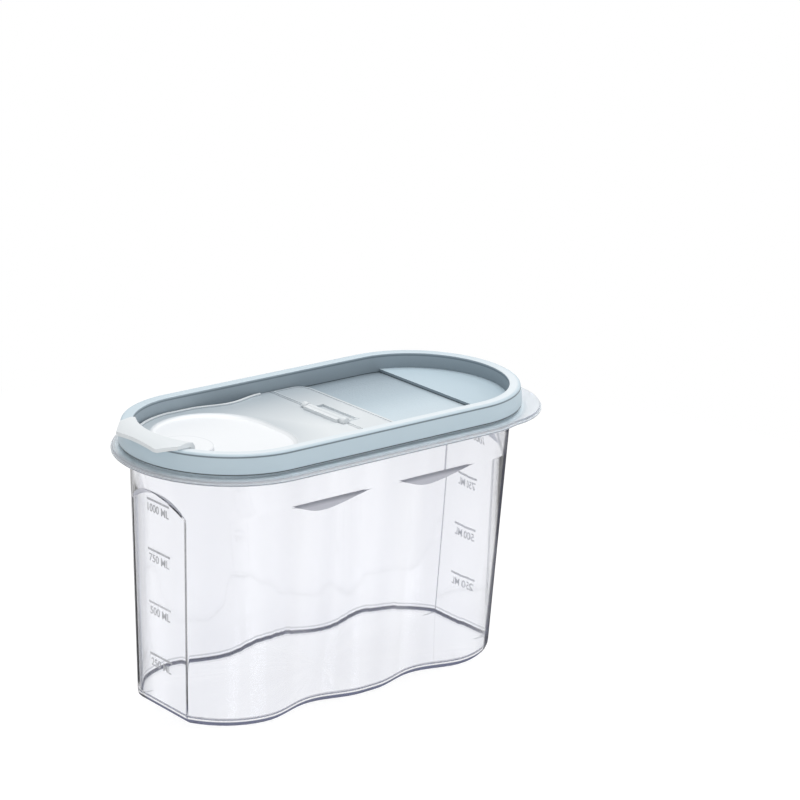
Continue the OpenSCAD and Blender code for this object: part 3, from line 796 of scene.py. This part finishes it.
# %% [markdown]
# The marks of one end become one piece, which rides on the container. Heights are in millimetres.
# The tub widens upwards, so the step to the top mark is the smallest.

# %% Measuring marks
MARKS = [(24.1, "250 ML"), (47.5, "500 ML"), (71.2, "750 ML"), (93.4, "1000 ML")]
LINE_SIZE = (15.3 * MM, 0.95 * MM)
TEXT_WIDTH = 13.8 * MM
FOUR_DIGIT_WIDTH = 1.06 * TEXT_WIDTH
LINE_TO_TEXT = 1.8 * MM


def measuring_marks(end, name):
    made = []
    for height, text in MARKS:
        line = bar(*LINE_SIZE)
        stand_on_panel(line, end, height * MM)
        word = letters(text, FOUR_DIGIT_WIDTH if len(text) > 6 else TEXT_WIDTH)
        stand_on_panel(word, end, height * MM - LINE_TO_TEXT)
        made += [line, word]
    deselect_all()
    for piece in made:
        piece.select_set(True)
    bpy.context.view_layer.objects.active = made[0]
    bpy.ops.object.join()
    piece = bpy.context.object
    piece.name = name
    piece.data.materials.clear()
    piece.data.materials.append(PRINT)
    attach(piece, "container")
    xs = [round(v.co.x / MM, 2) for v in piece.data.vertices]
    print(name, "has", len(piece.data.polygons), "faces, x from", min(xs), "to", max(xs))
    return piece


measuring_marks(-1, "marks_spout_end")
measuring_marks(1, "marks_grip_end")

# %% [markdown]
# The stage is a wide pale floor under a white sky. Rays from the camera, and those that it sees
# in gloss or through the clear plastic, find them white, while the lamps light the object at a
# plain level. A share of real diffuse light stays in the floor round the object, which keeps the
# shadow, and fades out to plain white further away.

# %% Floor
FLOOR_PLAIN = (0.9, 0.9, 0.9, 1)
FLOOR_DIM = (0.3, 0.3, 0.3, 1)
FLOOR_GLOW, FLOOR_GLOW_THROUGH = 0.78, 0.70
WHITE, WHITE_THROUGH = 1.0, 0.95
FADE_FROM, FADE_TO = 0.22, 0.42


def seen_ray(tree):
    """1 for a ray from the camera, and for one that it sees in gloss or through plastic."""
    path = add_node(tree, "LightPath").outputs
    return largest(tree, path["Is Camera Ray"], path["Is Glossy Ray"], path["Is Transmission Ray"])


def floor_finish():
    material, tree, output = new_material("floor_finish")
    through = add_node(tree, "LightPath").outputs["Is Transmission Ray"]
    glow = add_node(tree, "Emission")
    glow_level = spread(tree, through, FLOOR_GLOW, FLOOR_GLOW_THROUGH, 0, 1)
    tree.links.new(glow_level, glow.inputs["Strength"])
    bright = add_node(tree, "AddShader")
    dim = add_node(tree, "BsdfDiffuse", Color=FLOOR_DIM)
    tree.links.new(dim.outputs["BSDF"], bright.inputs[0])
    tree.links.new(glow.outputs["Emission"], bright.inputs[1])
    white = add_node(tree, "Emission")
    tree.links.new(spread(tree, through, WHITE, WHITE_THROUGH, 0, 1), white.inputs["Strength"])
    place = add_node(tree, "TexCoord")
    far = add_node(tree, "VectorMath", operation="LENGTH")
    tree.links.new(place.outputs["Object"], far.inputs[0])
    fade = spread(tree, far.outputs["Value"], 0, 1, FADE_FROM, FADE_TO)
    seen = mix_shaders(tree, fade, bright, white)
    plain = add_node(tree, "BsdfDiffuse", Color=FLOOR_PLAIN)
    mix = mix_shaders(tree, seen_ray(tree), plain, seen)
    tree.links.new(mix.outputs["Shader"], output.inputs["Surface"])
    return material


deselect_all()
bpy.ops.mesh.primitive_plane_add(size=12, location=(0, 0, 0))
floor = bpy.context.object
floor.name = "floor"
floor.data.materials.append(floor_finish())
print("floor is", round(floor.dimensions.x), "m wide")

# %% [markdown]
# The sky is white where it is seen, and lights the object less strongly than that.

# %% Sky
AMBIENT = 0.62

world = bpy.data.worlds.new("sky")
bpy.context.scene.world = world
world.use_nodes = True
sky = world.node_tree
sky.nodes.clear()
sky_out = sky.nodes.new("ShaderNodeOutputWorld")
ambient = add_node(sky, "Background", Strength=AMBIENT)
white_sky = add_node(sky, "Background", Strength=1.0)
choose = mix_shaders(sky, seen_ray(sky), ambient, white_sky)
sky.links.new(choose.outputs["Shader"], sky_out.inputs["Surface"])
print("sky has", len(sky.nodes), "nodes")

# %% [markdown]
# Three softboxes: a large one overhead and a smaller one from each side of the front.

# %% Lamps
def softbox(name, at, aim, size, power):
    data = bpy.data.lights.new(name, "AREA")
    data.shape = "RECTANGLE"
    data.size, data.size_y = size
    data.energy = power
    lamp = bpy.data.objects.new(name, data)
    bpy.context.scene.collection.objects.link(lamp)
    turn = (Vector(aim) - Vector(at)).to_track_quat("-Z", "Y").to_matrix().to_4x4()
    lamp.matrix_world = Matrix.Translation(at) @ turn
    lamp.visible_camera = False
    return lamp


TOP_WATTS, RIGHT_WATTS, LEFT_WATTS = 9, 2.4, 3.2
softbox("top_softbox", (0.2, 0.1, 1.2), (0, 0, 0.1), (1.0, 0.8), TOP_WATTS)
softbox("right_softbox", (0.9, -0.6, 0.6), (0, 0, 0.08), (0.5, 0.5), RIGHT_WATTS)
softbox("left_softbox", (-0.8, -0.9, 0.5), (0, 0, 0.08), (0.5, 0.5), LEFT_WATTS)

# %% [markdown]
# Colours go to the screen as they are.

# %% Finish
bpy.context.scene.view_settings.view_transform = "Standard"
